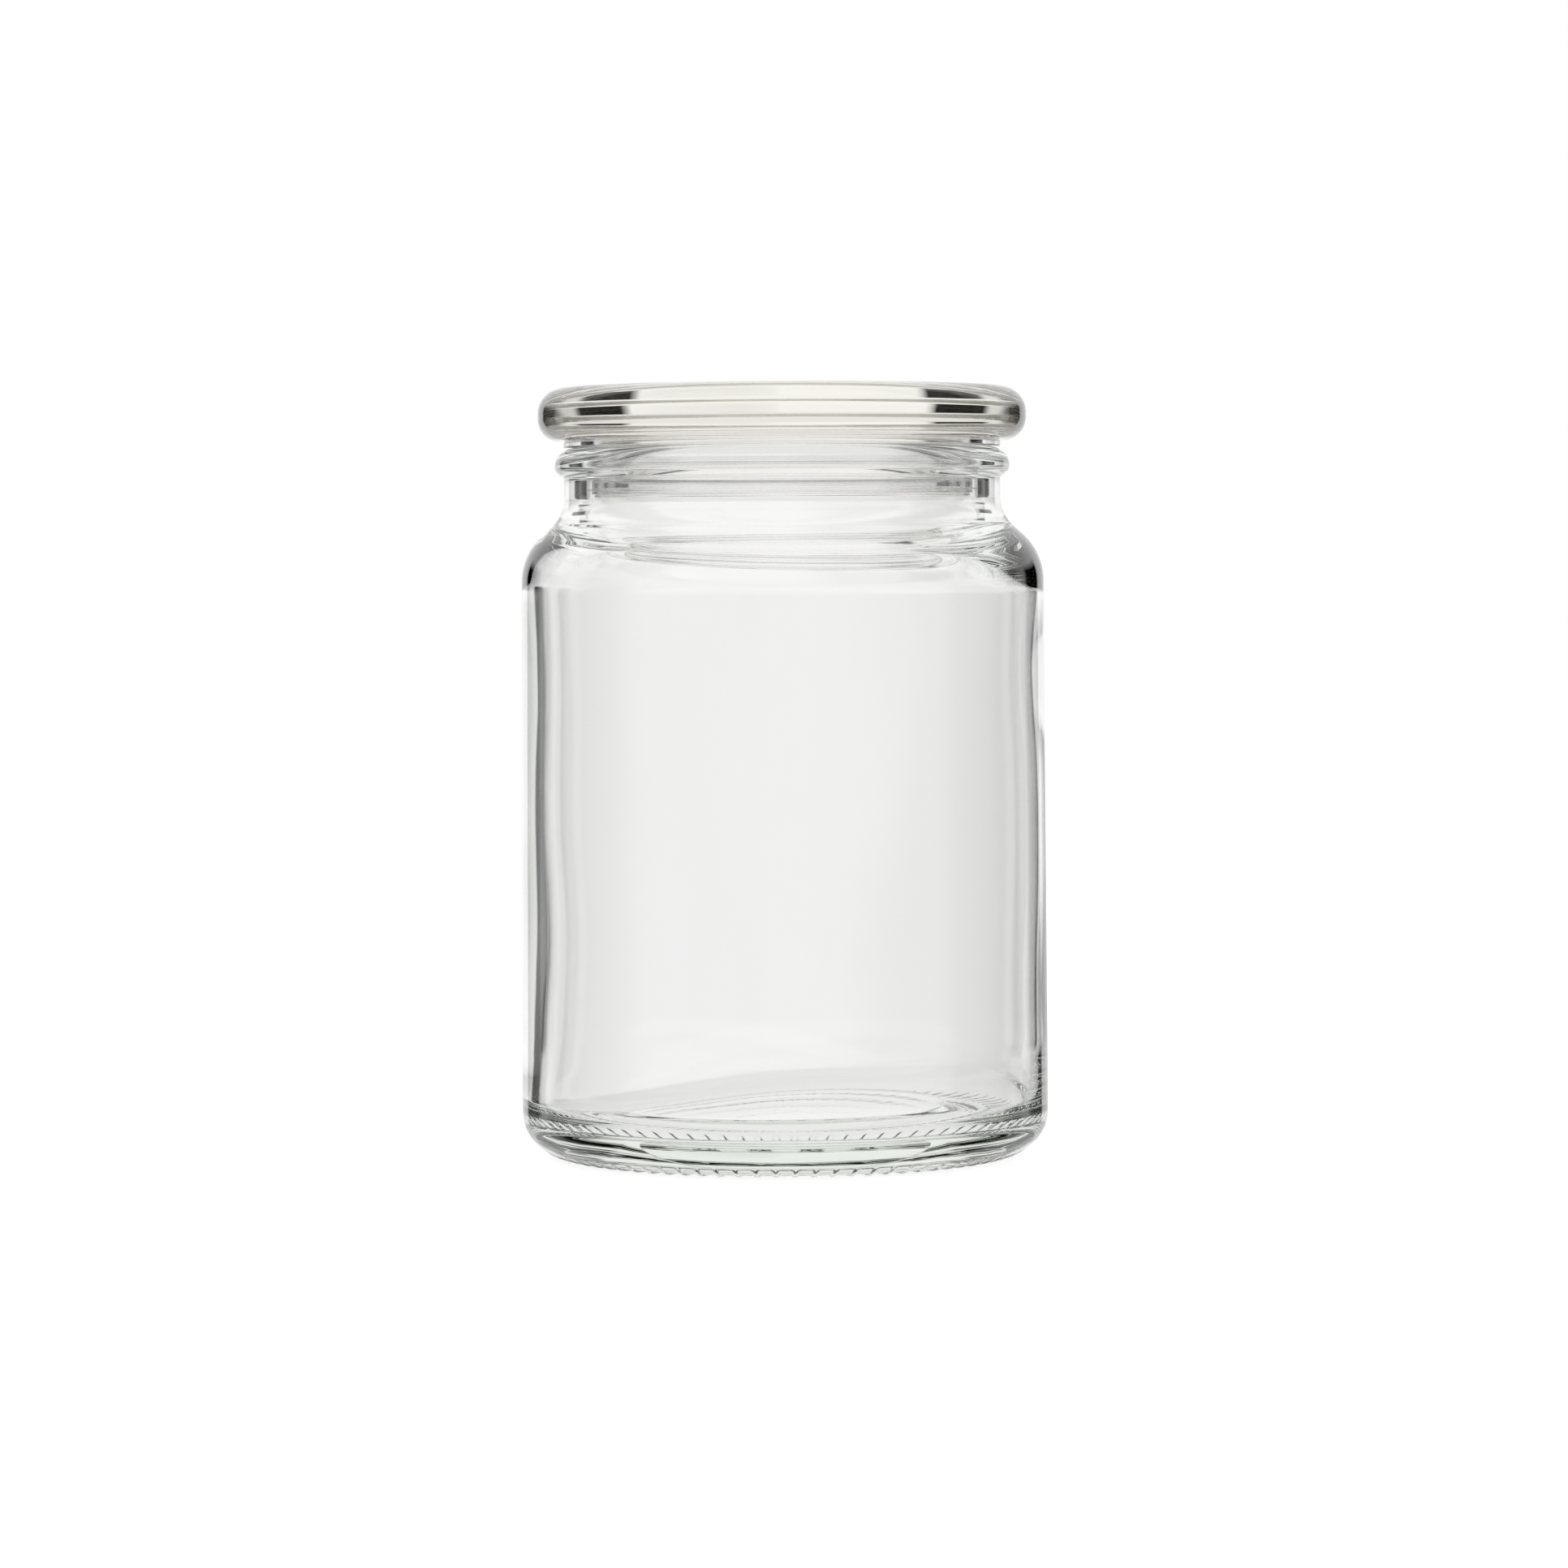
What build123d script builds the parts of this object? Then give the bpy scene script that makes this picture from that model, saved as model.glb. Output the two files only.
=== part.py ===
from build123d import *
import math
import os

# Empty glass candle jar with a flat glass lid that plugs into the mouth.
# Millimetres. Origin on the axis in the plane that the jar stands on, +Z up.
# Every piece is turned about +Z. An outline is a list of (radius, height)
# corners, each with the radius that rounds it off; 0 leaves a corner sharp.

# ---- jar, outside --------------------------------------------------------
HEEL_R = 51.45           # corner where the foot of the wall would meet the underside
SHOULDER_R = 50.8        # the wall leans in to this at the shoulder
NECK_R = 42.45
RIM_R = 44.25            # rounded bead round the mouth
RIM_TOP = 137.7
SHOULDER_CORNER_Z = 117.3
NECK_CORNER_Z = 124.55
BEAD_UNDER_Z = 131.85    # the bead starts to stand out of the neck here
BEAD_SIDE_Z = 133.3
HEEL_ROUND = 8.0
SHOULDER_ROUND = 12.2
NECK_ROUND = 8.3
BEAD_UNDER_ROUND = 0.8
BEAD_SIDE_ROUND = 1.6
BEAD_TOP_ROUND = 3.6

# ---- jar, inside ---------------------------------------------------------
MOUTH_R = 38.1
CAVITY_R = 48.4
CAVITY_CORNER_Z = 114.25
MOUTH_CORNER_Z = 122.25
FLOOR_Z = 7.0            # lowest ring of the inner floor
FLOOR_STEP_R = 31.0      # a soft step up to the raised middle of the floor
FLOOR_STEP_Z = 8.7
FLOOR_CROWN_Z = 9.8
MOUTH_ROUND = 2.3        # inner edge of the rim
MOUTH_FOOT_ROUND = 7.0   # where the mouth opens out into the cavity
CAVITY_ROUND = 10.2
FLOOR_ROUND = 5.0
STEP_FOOT_ROUND = 2.2
STEP_HEAD_ROUND = 1.2
STEP_SLOPE = 2.6         # the step takes this much radius
STEP_SHELF = 2.0         # level ring on top of the step, up to the dome
SHELF_RISE = 0.12

# ---- jar, underside ------------------------------------------------------
PUNT_R = 36.0            # hollow under the base
PUNT_Z = 1.6
PUNT_CROWN_Z = 3.4
PUNT_ROUND = 1.5
PUNT_SHELF = 2.0         # ring inside the punt's corner, up to its dome
PUNT_SHELF_RISE = 0.2
LAND_INNER_R = 38.2      # flat ring that the jar stands on
LAND_OUTER_R = 40.4
LAND_INNER_ROUND = 0.6
LAND_SLOPE = 0.3
HEEL_FLOOR_Z = 0.45      # underside of the heel between the knurls

# ---- knurls round the heel ----------------------------------------------
KNURL_COUNT = 78
KNURL_HALF_WIDTH = 1.0   # each bar is a round rod sunk into the heel
KNURL_CREST_Z = 0.03
KNURL_BEND_START_R = 43.4
KNURL_BEND = 6.4         # radius of the crest where it curls up the heel
KNURL_BEND_ANGLE = 52
KNURL_ROOT_R = 40.0

# ---- lid -----------------------------------------------------------------
LID_R = 47.5
LID_BOTTOM = 139.0
LID_TOP = 149.4          # flat ring of the top
LID_LOWER_ROUND = 4.45
LID_UPPER_ROUND = 5.0
LID_LAND_R = 38.0        # the flat ring starts here; the top is domed inside it
LID_CROWN = 1.35         # rise of that dome, which nests in the punt of a stacked jar
LID_BELLY = 2.6          # the underside bulges down this much inside the plug ring
PLUG_R = 36.05           # ring under the lid that carries the seal
PLUG_INNER_R = 32.0
PLUG_BOTTOM = 127.5
PLUG_SHELF = 3.0         # level ring inside the plug, up to the bulge
PLUG_ROOT_ROUND = 1.5
PLUG_TIP_ROUND = 1.0
LIP_R = 36.6             # low lip that keeps the seal on the plug
LIP_TOP = 128.5
LIP_ROUND = 0.3

# ---- seal ----------------------------------------------------------------
FIT = 0.05               # running clearance round the seal
SLEEVE_R = 37.1
FLANGE_R = 42.5
FLANGE_BOTTOM = RIM_TOP + FIT
FLANGE_TOP = LID_BOTTOM - FIT
FLANGE_ROUND = 0.3
FLANGE_ROOT_ROUND = 0.4
SLEEVE_BOTTOM = LIP_TOP + FIT
FIN_R = 38.0             # 0.1 clear of the mouth all round
FIN_HEIGHTS = (133.8, 131.6, 129.4)
FIN_ROOT_HALF = 0.30
FIN_TIP_HALF = 0.12


def turned(corners, crowns=()):
    """Solid of revolution from rounded corners, closed by spherical crowns on the axis.

    corners is a list of (radius, height, rounding). crowns holds the heights on the axis
    that the first and the last corner run to; with no crowns the outline is a closed ring.
    """
    points = [(r, z) for r, z, _ in corners]
    rounds = [rounding for _, _, rounding in corners]
    with BuildSketch(Plane.XZ) as section:
        with BuildLine():
            if crowns:
                FilletPolyline(*points, radius=rounds[1:-1])
                dome(points[0], crowns[0])
                dome(points[-1], crowns[1])
                Line((0, crowns[0]), (0, crowns[1]))
            else:
                FilletPolyline(*points, radius=rounds, close=True)
        make_face()
    return revolve(section.sketch, axis=Axis.Z)


def dome(edge, crown):
    """Arc from a point off the axis to a crown on it, level where it meets the axis."""
    reach, rise = edge[0], crown - edge[1]
    radius = (reach**2 + rise**2) / (2 * abs(rise))
    half = math.asin(reach / radius) / 2
    sag = math.copysign(radius * (1 - math.cos(half)), rise)
    ThreePointArc(edge, (radius * math.sin(half), crown - sag), (0, crown))


def knurl_bar():
    """One radial bar: a straight rod under the base that curls up round the heel."""
    centre_z = KNURL_CREST_Z + KNURL_HALF_WIDTH
    across = Plane(origin=(KNURL_BEND_START_R, 0, centre_z), x_dir=(0, 1, 0), z_dir=(1, 0, 0))
    section = across * Circle(KNURL_HALF_WIDTH)
    straight = extrude(section, amount=KNURL_ROOT_R - KNURL_BEND_START_R)
    hinge = Axis((KNURL_BEND_START_R, 0, KNURL_CREST_Z + KNURL_BEND), (0, -1, 0))
    return straight + revolve(section, axis=hinge, revolution_arc=KNURL_BEND_ANGLE)


def make_jar():
    """Pressed glass jar: open cavity, narrow mouth, stepped floor and knurled heel."""
    outline = [
        (PUNT_R - PUNT_SHELF, PUNT_Z + PUNT_SHELF_RISE, 0),
        (PUNT_R, PUNT_Z, PUNT_ROUND),
        (LAND_INNER_R, 0, LAND_INNER_ROUND),
        (LAND_OUTER_R, 0, 0),
        (LAND_OUTER_R + LAND_SLOPE, HEEL_FLOOR_Z, 0),
        (HEEL_R, HEEL_FLOOR_Z, HEEL_ROUND),
        (SHOULDER_R, SHOULDER_CORNER_Z, SHOULDER_ROUND),
        (NECK_R, NECK_CORNER_Z, NECK_ROUND),
        (NECK_R, BEAD_UNDER_Z, BEAD_UNDER_ROUND),
        (RIM_R, BEAD_SIDE_Z, BEAD_SIDE_ROUND),
        (RIM_R, RIM_TOP, BEAD_TOP_ROUND),
        (MOUTH_R, RIM_TOP, MOUTH_ROUND),
        (MOUTH_R, MOUTH_CORNER_Z, MOUTH_FOOT_ROUND),
        (CAVITY_R, CAVITY_CORNER_Z, CAVITY_ROUND),
        (CAVITY_R, FLOOR_Z, FLOOR_ROUND),
        (FLOOR_STEP_R + STEP_SLOPE, FLOOR_Z, STEP_FOOT_ROUND),
        (FLOOR_STEP_R, FLOOR_STEP_Z, STEP_HEAD_ROUND),
        (FLOOR_STEP_R - STEP_SHELF, FLOOR_STEP_Z + SHELF_RISE, 0),
    ]
    body = turned(outline, crowns=(PUNT_CROWN_Z, FLOOR_CROWN_Z))
    return body + PolarLocations(0, KNURL_COUNT) * knurl_bar()


def make_lid():
    """Solid glass disc, thickest in the middle, with a full-round edge and a plug ring."""
    outline = [
        (PLUG_INNER_R - PLUG_SHELF, LID_BOTTOM, 0),
        (PLUG_INNER_R, LID_BOTTOM, PLUG_ROOT_ROUND),
        (PLUG_INNER_R, PLUG_BOTTOM, PLUG_TIP_ROUND),
        (LIP_R, PLUG_BOTTOM, LIP_ROUND),
        (LIP_R, LIP_TOP, LIP_ROUND),
        (PLUG_R, LIP_TOP, 0),
        (PLUG_R, LID_BOTTOM, 0),
        (LID_R, LID_BOTTOM, LID_LOWER_ROUND),
        (LID_R, LID_TOP, LID_UPPER_ROUND),
        (LID_LAND_R, LID_TOP, 0),
    ]
    return turned(outline, crowns=(LID_BOTTOM - LID_BELLY, LID_TOP + LID_CROWN))


def make_seal():
    """Clear flexible ring: a flange between rim and lid, a sleeve, and fins in the mouth."""
    bore = PLUG_R + FIT
    outline = [
        (bore, SLEEVE_BOTTOM, 0),
        (bore, FLANGE_TOP, 0),
        (FLANGE_R, FLANGE_TOP, FLANGE_ROUND),
        (FLANGE_R, FLANGE_BOTTOM, FLANGE_ROUND),
        (SLEEVE_R, FLANGE_BOTTOM, FLANGE_ROOT_ROUND),
    ]
    for height in FIN_HEIGHTS:
        outline += [
            (SLEEVE_R, height + FIN_ROOT_HALF, 0),
            (FIN_R, height + FIN_TIP_HALF, 0),
            (FIN_R, height - FIN_TIP_HALF, 0),
            (SLEEVE_R, height - FIN_ROOT_HALF, 0),
        ]
    outline.append((SLEEVE_R, SLEEVE_BOTTOM, 0))
    return turned(outline)


PARTS = {"jar": make_jar, "lid": make_lid, "seal": make_seal}

os.makedirs("parts", exist_ok=True)
for name, make in PARTS.items():
    solid = make()
    box = solid.bounding_box()
    export_step(solid, f"parts/{name}.step")
    print(f"{name}: {solid.volume / 1000:.1f} cm3, {box.size.X:.1f} x {box.size.Y:.1f} x {box.size.Z:.1f} mm")
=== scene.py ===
import math

import bpy
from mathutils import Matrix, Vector, noise


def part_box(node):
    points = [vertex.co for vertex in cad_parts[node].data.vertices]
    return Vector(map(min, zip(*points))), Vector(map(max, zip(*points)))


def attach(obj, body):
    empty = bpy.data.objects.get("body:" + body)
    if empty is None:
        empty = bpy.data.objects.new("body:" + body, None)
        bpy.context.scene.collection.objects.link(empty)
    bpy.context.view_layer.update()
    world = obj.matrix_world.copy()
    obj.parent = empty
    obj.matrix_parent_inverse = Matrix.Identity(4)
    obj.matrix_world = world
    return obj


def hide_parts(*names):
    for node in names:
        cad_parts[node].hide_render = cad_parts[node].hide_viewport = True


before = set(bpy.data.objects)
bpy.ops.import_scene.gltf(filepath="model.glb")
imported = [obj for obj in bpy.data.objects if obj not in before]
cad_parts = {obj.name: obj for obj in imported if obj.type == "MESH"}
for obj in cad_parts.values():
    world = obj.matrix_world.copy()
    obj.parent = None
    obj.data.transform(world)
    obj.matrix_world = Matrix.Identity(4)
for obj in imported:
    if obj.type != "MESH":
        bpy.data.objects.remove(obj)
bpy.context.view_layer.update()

# Lengths below are in millimetres on the drawing, as in the part's own design, and metres in Blender.
MM = 0.001
PITCHES = 78                       # knurl bars round the heel
COARSE, FINE = 3 * PITCHES, 12 * PITCHES
ARC_STEP = math.radians(5)


def top_of(node):
    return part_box(node)[1].z / MM


# ---- camera ---------------------------------------------------------------
CAMERA_PLACE = (0.0003, -1.056, 0.11645)       # metres
CAMERA_DIP, CAMERA_ROLL = math.radians(2.4), math.radians(0.3)
LENS = 124.3


def make_camera():
    data = bpy.data.cameras.new("camera")
    data.sensor_width = 36
    data.lens = LENS
    data.clip_start, data.clip_end = 0.01, 50
    camera = bpy.data.objects.new("camera", data)
    camera.location = CAMERA_PLACE
    camera.rotation_euler = (math.pi / 2 - CAMERA_DIP, CAMERA_ROLL, 0)
    bpy.context.scene.collection.objects.link(camera)
    bpy.context.scene.camera = camera


# ---- outlines -------------------------------------------------------------
def rounded(corners, longest=None):
    """Points along straight runs joined by tangent arcs. A corner is (radius, height, rounding).

    With longest, a straight run is divided so that no piece of it is longer.
    """
    points = []

    def go_to(p):
        if points and longest:
            start = Vector(points[-1])
            count = max(1, math.ceil((Vector(p) - start).length / longest))
            points.extend(tuple(start.lerp(Vector(p), i / count)) for i in range(1, count))
        points.append(tuple(p))

    for i, (r, z, rounding) in enumerate(corners):
        here = Vector((r, z))
        if rounding == 0 or i in (0, len(corners) - 1):
            go_to(here)
            continue
        before = (Vector(corners[i - 1][:2]) - here).normalized()
        after = (Vector(corners[i + 1][:2]) - here).normalized()
        opening = before.angle(after)
        reach = rounding / math.tan(opening / 2)
        centre = here + (before + after).normalized() * (rounding / math.sin(opening / 2))
        first, last = here + before * reach - centre, here + after * reach - centre
        turn = first.angle_signed(last)
        count = max(3, math.ceil(abs(turn) / ARC_STEP))
        go_to(centre + first)
        for k in range(1, count + 1):
            swing = -turn * k / count
            points.append((
                centre.x + first.x * math.cos(swing) - first.y * math.sin(swing),
                centre.y + first.x * math.sin(swing) + first.y * math.cos(swing)))
    return points


def crown(edge, height, count):
    """Points of a shallow dome from an edge point to the axis, without the edge itself."""
    reach, rise = edge[0], height - edge[1]
    radius = (reach**2 + rise**2) / (2 * rise)
    points = []
    for i in range(1, count + 1):
        r = reach * (1 - i / count)
        points.append((r, height - radius + math.copysign(math.sqrt(radius**2 - r**2), rise)))
    return points


# ---- lathe ----------------------------------------------------------------
class Lathe:
    """Turns rings about +Z into one mesh, with the solid on the left of the outline.

    Rings may differ in how many points they have.
    """

    def __init__(self):
        self.verts, self.faces, self.last = [], [], None

    def ring(self, r, z, count, place=None):
        start = len(self.verts)
        if r < 1e-6:
            self.verts.append((0, 0, z))
            new = (start, 1)
        else:
            for k in range(count):
                angle = 2 * math.pi * k / count
                ro, zo = place(r, z, angle) if place else (r, z)
                self.verts.append((ro * math.cos(angle), ro * math.sin(angle), zo))
            new = (start, count)
        if self.last:
            self.join(self.last, new)
        self.last = new
        return new

    def join(self, a, b):
        (a0, na), (b0, nb) = a, b
        if na == 1 or nb == 1:
            pole, (s, n) = (a0, b) if na == 1 else (b0, a)
            for k in range(n):
                edge = (s + (k + 1) % n, s + k)
                self.faces.append((pole, *(edge if na == 1 else edge[::-1])))
        elif na == nb:
            for k in range(na):
                n = (k + 1) % na
                self.faces.append((a0 + k, a0 + n, b0 + n, b0 + k))
        else:
            self.stitch(a, b)

    def stitch(self, a, b):
        """Fans from the coarser ring to the finer one, whose count is a multiple of it."""
        flip = a[1] > b[1]
        (c0, nc), (f0, nf) = (b, a) if flip else (a, b)
        ratio = nf // nc
        half = ratio // 2
        for k in range(nc):
            here, after = c0 + k, c0 + (k + 1) % nc
            fine = [f0 + (k * ratio + i) % nf for i in range(ratio + 1)]
            fans = [(here, fine[i], fine[i + 1]) for i in range(half)]
            fans.append((here, fine[half], after))
            fans += [(after, fine[i], fine[i + 1]) for i in range(half, ratio)]
            self.faces += fans if flip else [f[::-1] for f in fans]

    def close(self, first):
        self.join(self.last, first)

    def piece(self, name, body, slot, material):
        mesh = bpy.data.meshes.new(name)
        mesh.from_pydata([tuple(c * MM for c in v) for v in self.verts], [], self.faces)
        mesh.polygons.foreach_set("use_smooth", [True] * len(mesh.polygons))
        mesh.materials.append(material)
        mesh.update()
        piece = bpy.data.objects.new(name, mesh)
        bpy.context.scene.collection.objects.link(piece)
        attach(piece, body)
        return piece


# ---- jar ------------------------------------------------------------------
RIM_TOP = top_of("jar")
MOUTH_R, CAVITY_R, NECK_R, RIM_R = 38.1, 48.4, 42.45, 44.25
HEEL_R, SHOULDER_R = 51.45, 50.8
SHOULDER_Z, NECK_Z, BEAD_UNDER_Z, BEAD_SIDE_Z = 117.3, 124.55, 131.85, 133.3
MOUTH_FOOT_Z, CAVITY_TOP_Z = 122.25, 114.25
FLOOR_Z, FLOOR_STEP_Z, FLOOR_CROWN_Z, FLOOR_STEP_R = 7.0, 8.7, 9.8, 31.0
PUNT_R, PUNT_Z, PUNT_CROWN_Z = 36.0, 1.6, 3.4
LAND_INNER_R, LAND_OUTER_R, HEEL_FLOOR_Z = 38.2, 40.4, 0.45
KNURL_HALF_WIDTH, KNURL_CREST_Z, KNURL_BEND, KNURL_BEND_R = 1.0, 0.03, 6.4, 43.4
KNURL_TOP = 2.6                    # the bars have run out above this
FOOT = (51.38, 14.0)               # radius and height where the heel's mesh passes into the wall's
LIP_INSIDE = (MOUTH_R, 130.0)      # where the outer outline passes into the inner one

# Where the inner wall runs thick: azimuth in degrees, height, inward push, spread in azimuth, in height.
THICK_SPOTS = (
    (182, 44, 0.35, 34, 16),
    (175, 92, 0.3, 30, 18),
    (355, 94, 0.4, 24, 14),
    (5, 35, 0.3, 28, 18),
)
OFF_CENTRE = 0.9                   # the cavity sits this far towards +X
UNEVEN = 0.16                      # depth of the finer waves
UNEVEN_ROUND, UNEVEN_RISE = 1.6, 34
UNEVEN_FROM, UNEVEN_TO = (10, 22), (110, 120)    # heights over which the unevenness sets in and fades


def bump(x, spread):
    return math.exp(-(x / spread) ** 2)


def clamp(x):
    return min(max(x, 0), 1)


def wavy(r, z, angle):
    """The inner wall as pressing left it: a little off centre, thick in places."""
    (bottom, full), (fading, top) = UNEVEN_FROM, UNEVEN_TO
    reach = clamp((z - bottom) / (full - bottom)) * clamp((top - z) / (top - fading))
    degrees = math.degrees(angle)
    push = -OFF_CENTRE * math.cos(angle)
    for azimuth, height, depth, spread, rise in THICK_SPOTS:
        away = (degrees - azimuth + 180) % 360 - 180
        push += depth * bump(away, spread) * bump(z - height, rise)
    around = Vector((math.cos(angle) * UNEVEN_ROUND, math.sin(angle) * UNEVEN_ROUND, z / UNEVEN_RISE))
    push += UNEVEN * noise.noise(around)
    return r - push * reach, z


def knurled(r, z, angle):
    """The heel with its bars: each is a rod laid under the base that curls up round the heel."""
    across = (angle * PITCHES / (2 * math.pi) + 0.5) % 1 - 0.5
    aside = across * 2 * math.pi * r / PITCHES
    bend_z = KNURL_CREST_Z + KNURL_BEND
    out = Vector((max(r - KNURL_BEND_R, 0), z - bend_z))
    skin = out.length
    rod = KNURL_BEND - KNURL_HALF_WIDTH
    if abs(aside) < KNURL_HALF_WIDTH:
        rod += math.sqrt(KNURL_HALF_WIDTH**2 - aside**2)
    top = soft_max(skin, rod, width=0.1)
    top = min(top, KNURL_BEND) if skin < KNURL_BEND else top
    out *= top / skin
    return (r if r <= KNURL_BEND_R else KNURL_BEND_R + out.x), bend_z + out.y


def soft_max(a, b, width):
    h = max(width - abs(a - b), 0) / width
    return max(a, b) + h * h * width / 4


def jar_outline():
    """Points of the underside, the heel, the outer wall up to the rim, and the inside."""
    under = rounded([
        (PUNT_R - 2, PUNT_Z + 0.2, 0), (PUNT_R, PUNT_Z, 1.5), (LAND_INNER_R, 0, 0.6),
        (LAND_OUTER_R, 0, 0)], longest=1.5)
    under = crown(under[0], PUNT_CROWN_Z, 10)[::-1] + under
    heel = rounded([
        (LAND_OUTER_R + 0.3, HEEL_FLOOR_Z, 0), (HEEL_R, HEEL_FLOOR_Z, 8.0), (*FOOT, 0)], longest=0.4)
    wall = rounded([
        (*FOOT, 0), (SHOULDER_R, SHOULDER_Z, 12.2), (NECK_R, NECK_Z, 8.3), (NECK_R, BEAD_UNDER_Z, 0.8),
        (RIM_R, BEAD_SIDE_Z, 1.6), (RIM_R, RIM_TOP, 3.6), (MOUTH_R, RIM_TOP, 2.3), (*LIP_INSIDE, 0)],
        longest=2.5)[1:]
    inside = rounded([
        (*LIP_INSIDE, 0), (MOUTH_R, MOUTH_FOOT_Z, 7.0), (CAVITY_R, CAVITY_TOP_Z, 10.2),
        (CAVITY_R, FLOOR_Z, 5.0), (FLOOR_STEP_R + 2.6, FLOOR_Z, 2.2), (FLOOR_STEP_R, FLOOR_STEP_Z, 1.2),
        (FLOOR_STEP_R - 2, FLOOR_STEP_Z + 0.12, 0)], longest=2.0)[1:]
    inside += crown(inside[-1], FLOOR_CROWN_Z, 12)
    return under, heel, wall, inside


def make_jar(material):
    under, heel, wall, inside = jar_outline()
    lathe = Lathe()
    for r, z in under:
        lathe.ring(r, z, COARSE)
    for r, z in heel:
        bars = z < KNURL_TOP
        lathe.ring(r, z, FINE if bars else COARSE, knurled if bars else None)
    for r, z in wall:
        lathe.ring(r, z, COARSE)
    for r, z in inside:
        lathe.ring(r, z, COARSE, wavy)
    piece = lathe.piece("jar_glass_body", "jar", "jar_glass", material)
    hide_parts("jar")


# ---- lid ------------------------------------------------------------------
LID_BELLY, LID_CROWN = 2.6, 1.35   # bulge of the underside inside the plug, and of the top
LID_LAND_R = 38.0                  # the flat ring of the top starts here
LID_TOP, LID_R = top_of("lid") - LID_CROWN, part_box("lid")[1].x / MM
LID_BOTTOM = 139.0
LID_LOWER_ROUND, LID_UPPER_ROUND = 4.45, 5.0
PLUG_INNER_R, PLUG_R, PLUG_SHELF = 32.0, 36.05, 3
PLUG_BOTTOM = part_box("lid")[0].z / MM
LIP_R, LIP_TOP = 36.6, 128.5


def make_lid(material):
    outline = rounded([
        (PLUG_INNER_R - PLUG_SHELF, LID_BOTTOM, 0), (PLUG_INNER_R, LID_BOTTOM, 1.5),
        (PLUG_INNER_R, PLUG_BOTTOM, 1.0), (LIP_R, PLUG_BOTTOM, 0.3), (LIP_R, LIP_TOP, 0.3),
        (PLUG_R, LIP_TOP, 0.1), (PLUG_R, LID_BOTTOM, 0), (LID_R, LID_BOTTOM, LID_LOWER_ROUND),
        (LID_R, LID_TOP, LID_UPPER_ROUND), (LID_LAND_R, LID_TOP, 0)], longest=2.5)
    outline = crown(outline[0], LID_BOTTOM - LID_BELLY, 8)[::-1] + outline
    outline += crown(outline[-1], LID_TOP + LID_CROWN, 10)
    lathe = Lathe()
    for r, z in outline:
        lathe.ring(r, z, COARSE)
    piece = lathe.piece("lid_glass_disc", "lid", "lid_glass", material)
    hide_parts("lid")


# ---- seal -----------------------------------------------------------------
SEAL_BOTTOM, SEAL_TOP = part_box("seal")[0].z / MM, top_of("seal")
SLEEVE_R, FIN_R, FLANGE_R, FLANGE_BOTTOM = 37.1, 38.0, 42.5, 137.75
FIN_HEIGHTS = (133.8, 131.6, 129.4)
FIN_ROOT_HALF, FIN_TIP_HALF = 0.3, 0.12
FIT = 0.05                         # clearance between the seal and the plug
EDGE = 0.1                         # rounding of the seal's finer edges


def make_seal(material):
    bore = PLUG_R + FIT
    corners = [
        (bore, (SEAL_BOTTOM + SEAL_TOP) / 2, 0), (bore, SEAL_TOP, EDGE),
        (FLANGE_R, SEAL_TOP, 0.3), (FLANGE_R, FLANGE_BOTTOM, 0.3), (SLEEVE_R, FLANGE_BOTTOM, 0.4)]
    for height in FIN_HEIGHTS:
        corners += [
            (SLEEVE_R, height + FIN_ROOT_HALF, EDGE), (FIN_R, height + FIN_TIP_HALF, EDGE),
            (FIN_R, height - FIN_TIP_HALF, EDGE), (SLEEVE_R, height - FIN_ROOT_HALF, EDGE)]
    corners += [(SLEEVE_R, SEAL_BOTTOM, EDGE), (bore, SEAL_BOTTOM, EDGE), corners[0]]
    outline = rounded(corners)[:0:-1]
    lathe = Lathe()
    first = None
    for r, z in outline:
        ring = lathe.ring(r, z, COARSE)
        first = first or ring
    lathe.close(first)
    piece = lathe.piece("seal_ring", "seal", "seal_plastic", material)
    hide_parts("seal")


# ---- materials ------------------------------------------------------------
WAVES, HAZE = (0.012, 2.5), (0.004, 1.0)       # size in metres, and how far drawn out along the axis
RIPPLE = 0.00002                               # height in metres of the waves in the skin


def cloud(nodes, links, size, stretch):
    """Socket with soft noise of a size in metres, drawn out along the axis by stretch."""
    place = nodes.new("ShaderNodeTexCoord")
    scaled = nodes.new("ShaderNodeMapping")
    scaled.inputs["Scale"].default_value = (1 / size, 1 / size, 1 / size / stretch)
    links.new(place.outputs["Object"], scaled.inputs["Vector"])
    texture = nodes.new("ShaderNodeTexNoise")
    texture.inputs["Scale"].default_value = 1
    texture.inputs["Detail"].default_value = 2
    links.new(scaled.outputs["Vector"], texture.inputs["Vector"])
    return texture.outputs["Fac"]


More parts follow.
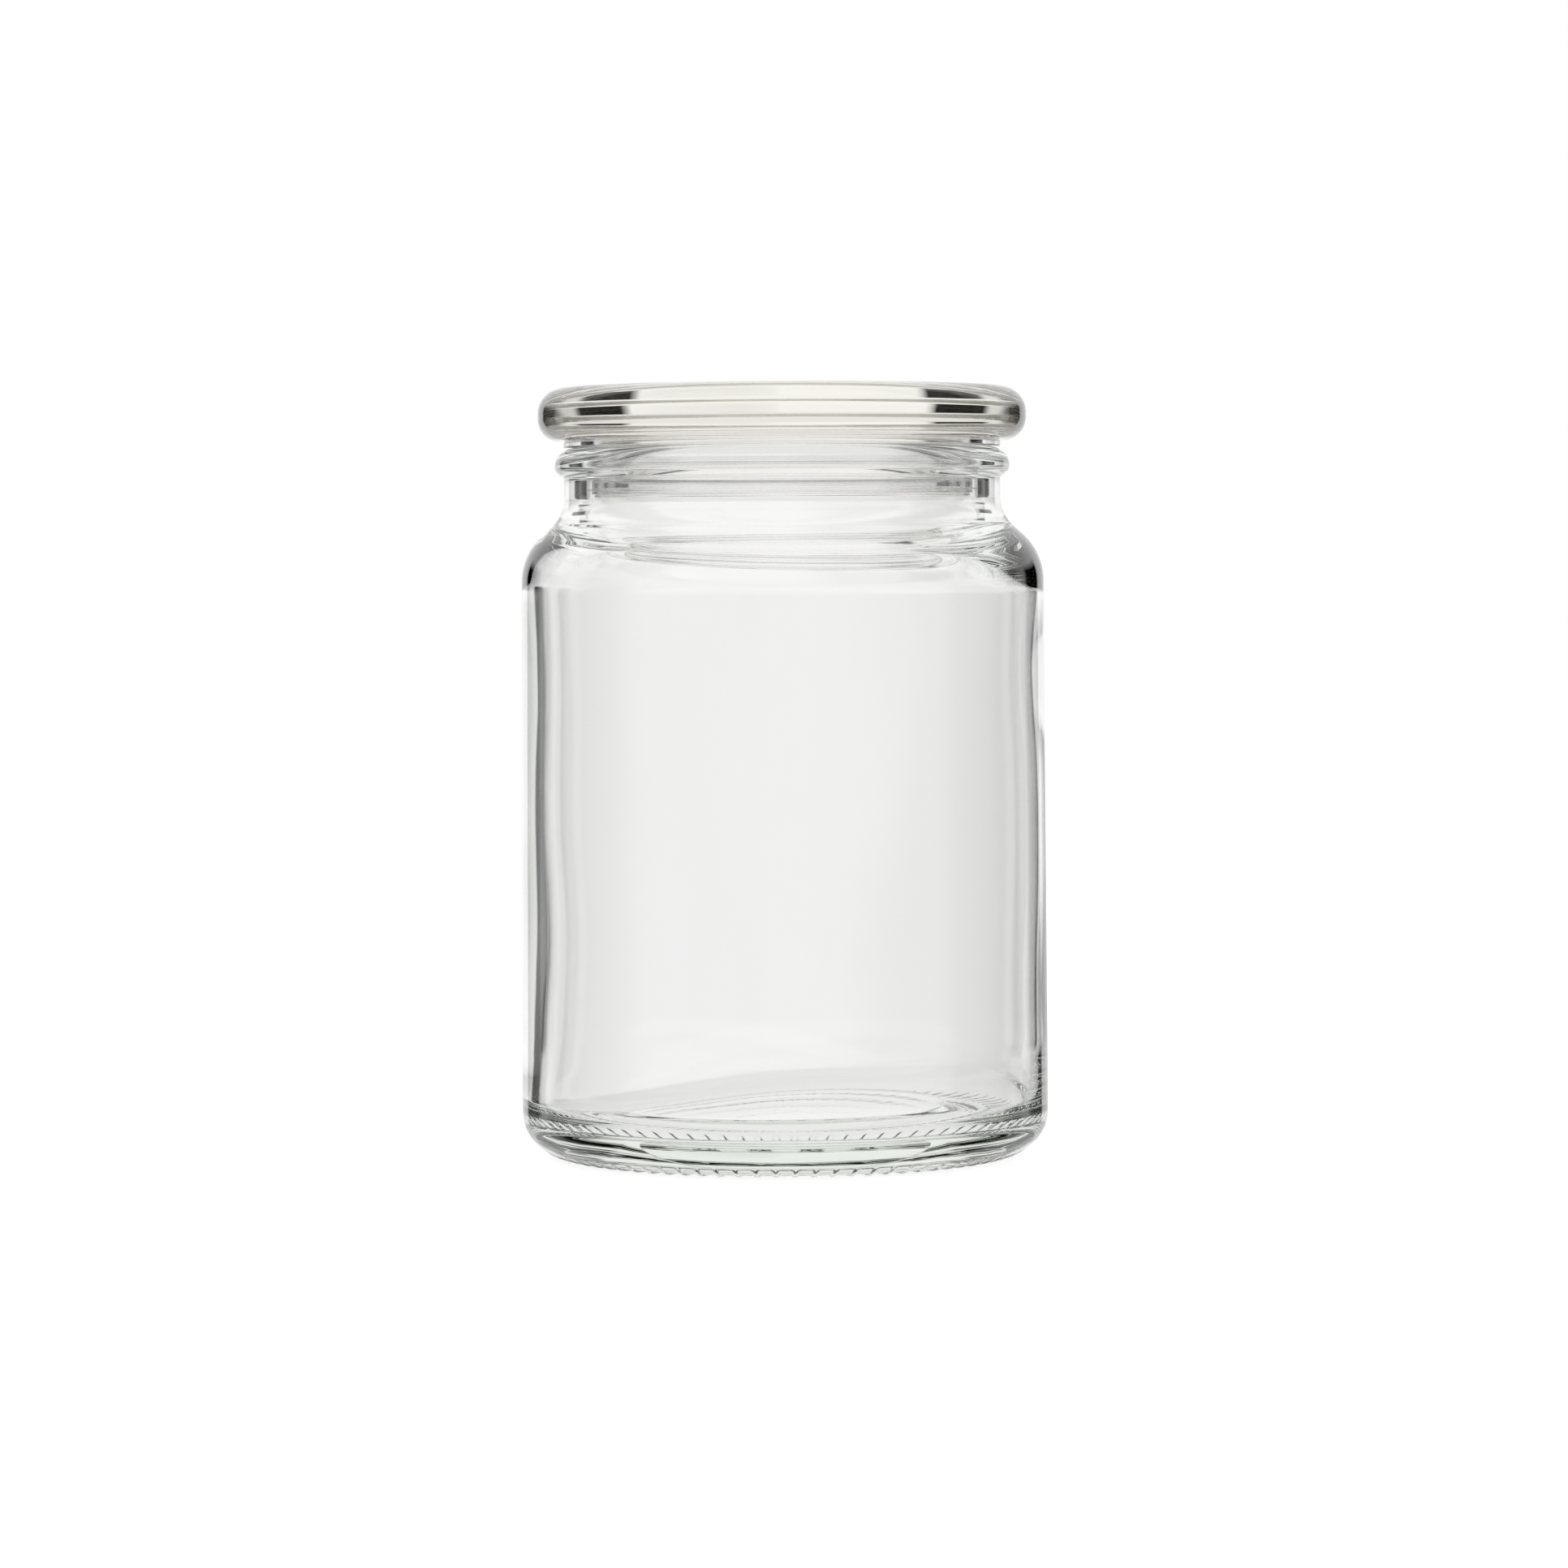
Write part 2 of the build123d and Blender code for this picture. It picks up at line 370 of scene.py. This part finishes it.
def glass(name, absorbed, tint, ior=1.52, roughness=(0.0, 0.015)):
    """Clear glass with a faint ripple, soft haze and streaks of tint.

    absorbed is what a metre takes out of red, green and blue, tint the colour of the streaks,
    and roughness the range of the haze.
    """
    material = bpy.data.materials.new(name)
    material.use_nodes = True
    nodes, links = material.node_tree.nodes, material.node_tree.links
    shader = nodes["Principled BSDF"]
    shader.inputs["Transmission Weight"].default_value = 1
    shader.inputs["IOR"].default_value = ior
    waves, haze = cloud(nodes, links, *WAVES), cloud(nodes, links, *HAZE)
    streaks = nodes.new("ShaderNodeMixRGB")
    streaks.inputs[1].default_value = (1, 1, 1, 1)
    streaks.inputs[2].default_value = (*tint, 1)
    links.new(waves, streaks.inputs["Fac"])
    links.new(streaks.outputs["Color"], shader.inputs["Base Color"])
    rough = nodes.new("ShaderNodeMapRange")
    rough.inputs["To Min"].default_value, rough.inputs["To Max"].default_value = roughness
    links.new(haze, rough.inputs["Value"])
    links.new(rough.outputs["Result"], shader.inputs["Roughness"])
    skin = nodes.new("ShaderNodeBump")
    skin.inputs["Distance"].default_value = RIPPLE
    links.new(waves, skin.inputs["Height"])
    links.new(skin.outputs["Normal"], shader.inputs["Normal"])
    density = max(absorbed) * 1.25
    volume = nodes.new("ShaderNodeVolumeAbsorption")
    volume.inputs["Color"].default_value = (*(1 - a / density for a in absorbed), 1)
    volume.inputs["Density"].default_value = density
    links.new(volume.outputs["Volume"], nodes["Material Output"].inputs["Volume"])
    return material


# ---- stage ----------------------------------------------------------------
# Brightness of the surroundings by azimuth in degrees, 0 behind the jar and 90 to the right.
# LOW lies under the span LEVEL_FROM, HIGH over the span LEVEL_TO, and LEVEL between them, with the
# white backdrop and, close beside it, the dark strips that draw the lines down the jar's edges.
LOW_RING = (
    (-180, 0.78), (-104, 0.78), (-98, 0.05), (-62, 0.05), (-54, 0.86),
    (54, 0.86), (62, 0.05), (98, 0.05), (104, 0.78), (180, 0.78),
)
LEVEL_RING = (
    (-180, 0.3), (-104, 0.3), (-98, 0.02), (-58, 0.02), (-52, 0.8), (-47, 0.8),
    (-44, 0.0), (-28, 0.0), (-26, 1.0), (0.2, 1.0), (1, 0.94), (6, 0.9), (22, 0.95), (27, 1.0),
    (29, 0.0), (44, 0.0), (47, 0.7), (52, 0.7), (58, 0.02), (98, 0.02), (104, 0.3), (180, 0.3),
)
HIGH_RING = (
    (-180, 0.8), (-104, 0.8), (-98, 0.1), (-72, 0.1), (-62, 1.0),
    (62, 1.0), (72, 0.1), (98, 0.1), (104, 0.8), (180, 0.8),
)
LEVEL_FROM, LEVEL_TO = (-12, -8), (6, 10)      # elevations over which one ring passes into the next
FLOOR_SIDE, FLOOR_HEIGHT = 4.0, -0.0002
FLOOR_LIGHT = 0.75                             # the floor's own light, beside what falls on it


def ring_light(tree, direction, stops):
    """Colour socket with the brightness that the stops give for a direction's azimuth."""
    nodes, links = tree.nodes, tree.links
    split = nodes.new("ShaderNodeSeparateXYZ")
    links.new(direction, split.inputs[0])
    azimuth = nodes.new("ShaderNodeMath")
    azimuth.operation = "ARCTAN2"
    links.new(split.outputs["X"], azimuth.inputs[0])
    links.new(split.outputs["Y"], azimuth.inputs[1])
    share = nodes.new("ShaderNodeMapRange")
    share.inputs["From Min"].default_value = -math.pi
    share.inputs["From Max"].default_value = math.pi
    links.new(azimuth.outputs[0], share.inputs["Value"])
    ramp = nodes.new("ShaderNodeValToRGB")
    links.new(share.outputs["Result"], ramp.inputs["Fac"])
    elements = ramp.color_ramp.elements
    while len(elements) < len(stops):
        elements.new(0.5)
    for element, (degrees, light) in zip(elements, stops):
        element.position = degrees / 360 + 0.5
        element.color = (light, light, light, 1)
    return ramp.outputs["Color"]


def above(tree, height, span, first, second):
    """Colour socket that passes from first to second as a direction rises through the span."""
    share = tree.nodes.new("ShaderNodeMapRange")
    share.inputs["From Min"].default_value = math.sin(math.radians(span[0]))
    share.inputs["From Max"].default_value = math.sin(math.radians(span[1]))
    tree.links.new(height, share.inputs["Value"])
    mix = tree.nodes.new("ShaderNodeMixRGB")
    tree.links.new(share.outputs["Result"], mix.inputs["Fac"])
    tree.links.new(first, mix.inputs[1])
    tree.links.new(second, mix.inputs[2])
    return mix.outputs["Color"]


def make_world():
    """Soft surroundings by direction for the glass to bend and mirror. The camera sees plain white."""
    world = bpy.data.worlds.new("surroundings")
    bpy.context.scene.world = world
    world.use_nodes = True
    tree = world.node_tree
    tree.nodes.clear()
    direction = tree.nodes.new("ShaderNodeTexCoord").outputs["Generated"]
    split = tree.nodes.new("ShaderNodeSeparateXYZ")
    tree.links.new(direction, split.inputs[0])
    low = ring_light(tree, direction, LOW_RING)
    level = ring_light(tree, direction, LEVEL_RING)
    high = ring_light(tree, direction, HIGH_RING)
    lower = above(tree, split.outputs["Z"], LEVEL_FROM, low, level)
    colour = above(tree, split.outputs["Z"], LEVEL_TO, lower, high)
    surround = tree.nodes.new("ShaderNodeBackground")
    tree.links.new(colour, surround.inputs["Color"])
    plain = tree.nodes.new("ShaderNodeBackground")
    plain.inputs["Color"].default_value = (1, 1, 1, 1)
    rays = tree.nodes.new("ShaderNodeLightPath")
    mix = tree.nodes.new("ShaderNodeMixShader")
    tree.links.new(rays.outputs["Is Camera Ray"], mix.inputs["Fac"])
    tree.links.new(surround.outputs[0], mix.inputs[1])
    tree.links.new(plain.outputs[0], mix.inputs[2])
    out = tree.nodes.new("ShaderNodeOutputWorld")
    tree.links.new(mix.outputs[0], out.inputs["Surface"])


def make_floor():
    """The pale floor that the camera sees."""
    material = bpy.data.materials.new("floor")
    material.use_nodes = True
    shader = material.node_tree.nodes["Principled BSDF"]
    shader.inputs["Base Color"].default_value = (0.82, 0.82, 0.82, 1)
    shader.inputs["Roughness"].default_value = 0.9
    shader.inputs["Specular IOR Level"].default_value = 0.1
    shader.inputs["Emission Color"].default_value = (1, 1, 1, 1)
    shader.inputs["Emission Strength"].default_value = FLOOR_LIGHT
    signs = ((-1, -1), (1, -1), (1, 1), (-1, 1))
    corners = [(x * FLOOR_SIDE, y * FLOOR_SIDE, FLOOR_HEIGHT) for x, y in signs]
    mesh = bpy.data.meshes.new("floor")
    mesh.from_pydata(corners, [], [(0, 1, 2, 3)])
    mesh.materials.append(material)
    floor = bpy.data.objects.new("floor", mesh)
    bpy.context.scene.collection.objects.link(floor)
    floor.visible_transmission = floor.visible_glossy = False


# ---- build ----------------------------------------------------------------
make_camera()
make_jar(glass("jar_glass", absorbed=(1.8, 1.4, 2.0), tint=(0.985, 0.985, 0.98)))
make_lid(glass("lid_glass", absorbed=(0.6, 0.8, 1.4), tint=(1, 0.995, 0.985)))
make_seal(glass(
    "seal_plastic", absorbed=(2, 2, 2), tint=(0.98, 0.985, 0.99), ior=1.35, roughness=(0.01, 0.06)))
make_floor()
make_world()

scene = bpy.context.scene
scene.view_settings.view_transform = "Standard"
scene.cycles.max_bounces = 32
scene.cycles.transmission_bounces = 32
scene.cycles.glossy_bounces = 16
